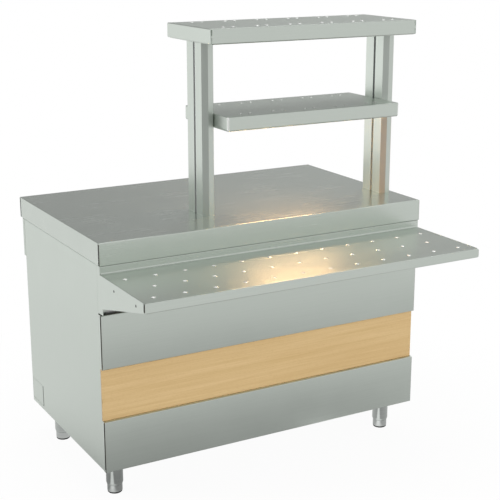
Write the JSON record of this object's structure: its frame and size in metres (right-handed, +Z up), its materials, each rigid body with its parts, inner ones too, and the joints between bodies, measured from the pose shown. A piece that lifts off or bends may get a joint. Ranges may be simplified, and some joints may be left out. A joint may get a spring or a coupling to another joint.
{
  "type": "hot drink counter",
  "caption": "Free-standing steel hot drink counter with a tray shelf along the front, a beech-coloured facing board, an open cupboard behind and a two-tier shelf on posts at one end.",
  "frame": {"origin": "centre of the bounding box at the floor, under the four foot pads", "axes": "+X to the right along the counter's length for someone facing the tray shelf, -Y to the front where the tray shelf is, +Y to the open service side, +Z up"},
  "size_m": [1.2, 1.055, 1.492],
  "materials": {
    "satin_steel": "satin brushed stainless steel",
    "polished_steel": "fine turned, half bright",
    "black_steel": "blackened, slightly worn",
    "zinc_steel": "dull zinc plate",
    "beech_laminate": "matt beech-pattern laminate with a fine level grain",
    "black_rubber": "matt",
    "black_plastic": "fine grained",
    "grey_plastic": "fine grained",
    "red_plastic": "glossy",
    "white_enamel": "white stoved enamel",
    "lamp_glass": "frosted glass",
    "lamp_lens": "opal"
  },
  "bodies": {
    "counter": {"base_rails": "zinc_steel", "base_shelf": "satin_steel", "cable_gland": "black_plastic", "front_apron": "satin_steel", "front_decor_panel": "beech_laminate", "front_inner_panel": "satin_steel", "front_lower_panel": "satin_steel", "front_upper_panel": "satin_steel", "inner_shelf": "satin_steel", "junction_box": "grey_plastic", "lamp_diffuser": "lamp_lens", "lamp_holders": "grey_plastic", "lamp_housing": "white_enamel", "lamp_tube": "lamp_glass", "leg_bolts": "zinc_steel", "leg_front_left": "polished_steel", "leg_front_right": "polished_steel", "leg_rear_left": "polished_steel", "leg_rear_right": "polished_steel", "mid_shelf": "satin_steel", "mid_shelf_brackets": "zinc_steel", "panel_clips": "zinc_steel", "post_anchor_plates": "zinc_steel", "post_bolts": "zinc_steel", "post_left_core": "zinc_steel", "post_left_front": "satin_steel", "post_left_rear": "satin_steel", "post_right_core": "zinc_steel", "post_right_front": "satin_steel", "post_right_rear": "satin_steel", "rear_fascia": "satin_steel", "rear_rail": "satin_steel", "service_cover_left": "satin_steel", "service_cover_right": "satin_steel", "shelf_rails": "satin_steel", "side_panel_left": "satin_steel", "side_panel_right": "satin_steel", "socket_left_body": "black_plastic", "socket_pins": "zinc_steel", "socket_right_body": "black_plastic", "switch_bezel": "black_plastic", "top_shelf": "satin_steel", "tray_bracket_left": "satin_steel", "tray_bracket_right": "satin_steel", "tray_screws": "black_steel", "tray_shelf": "satin_steel", "worktop": "satin_steel", "worktop_stiffeners": "satin_steel"},
    "foot_front_left": {"foot_front_left": "polished_steel", "foot_pad_front_left": "black_rubber"},
    "foot_front_right": {"foot_front_right": "polished_steel", "foot_pad_front_right": "black_rubber"},
    "foot_rear_left": {"foot_rear_left": "polished_steel", "foot_pad_rear_left": "black_rubber"},
    "foot_rear_right": {"foot_rear_right": "polished_steel", "foot_pad_rear_right": "black_rubber"},
    "lid_left": {"socket_left_lid": "grey_plastic"},
    "lid_right": {"socket_right_lid": "grey_plastic"},
    "rocker": {"switch_rocker": "red_plastic"}
  },
  "joints": [
    {"name": "foot_front_left_height", "type": "slide", "parent": "counter", "child": "foot_front_left", "axis": [0, 0, -1], "range_m": [0, 0.04]},
    {"name": "foot_front_right_height", "type": "slide", "parent": "counter", "child": "foot_front_right", "axis": [0, 0, -1], "range_m": [0, 0.04]},
    {"name": "foot_rear_left_height", "type": "slide", "parent": "counter", "child": "foot_rear_left", "axis": [0, 0, -1], "range_m": [0, 0.04]},
    {"name": "foot_rear_right_height", "type": "slide", "parent": "counter", "child": "foot_rear_right", "axis": [0, 0, -1], "range_m": [0, 0.04]},
    {"name": "lid_left_hinge", "type": "hinge", "parent": "counter", "child": "lid_left", "pos_m": [-0.35, 0.5215, 0.764], "axis": [1, 0, 0], "range_deg": [0, 100], "stiffness_Nm_per_rad": 0.015, "springref_deg": -34.38},
    {"name": "lid_right_hinge", "type": "hinge", "parent": "counter", "child": "lid_right", "pos_m": [-0.23, 0.5215, 0.764], "axis": [1, 0, 0], "range_deg": [0, 100], "stiffness_Nm_per_rad": 0.015, "springref_deg": -34.38},
    {"name": "rocker_tilt", "type": "hinge", "parent": "counter", "child": "rocker", "pos_m": [0.4, 0.5095, 0.735], "axis": [1, 0, 0], "range_deg": [0, 14]}
  ]
}
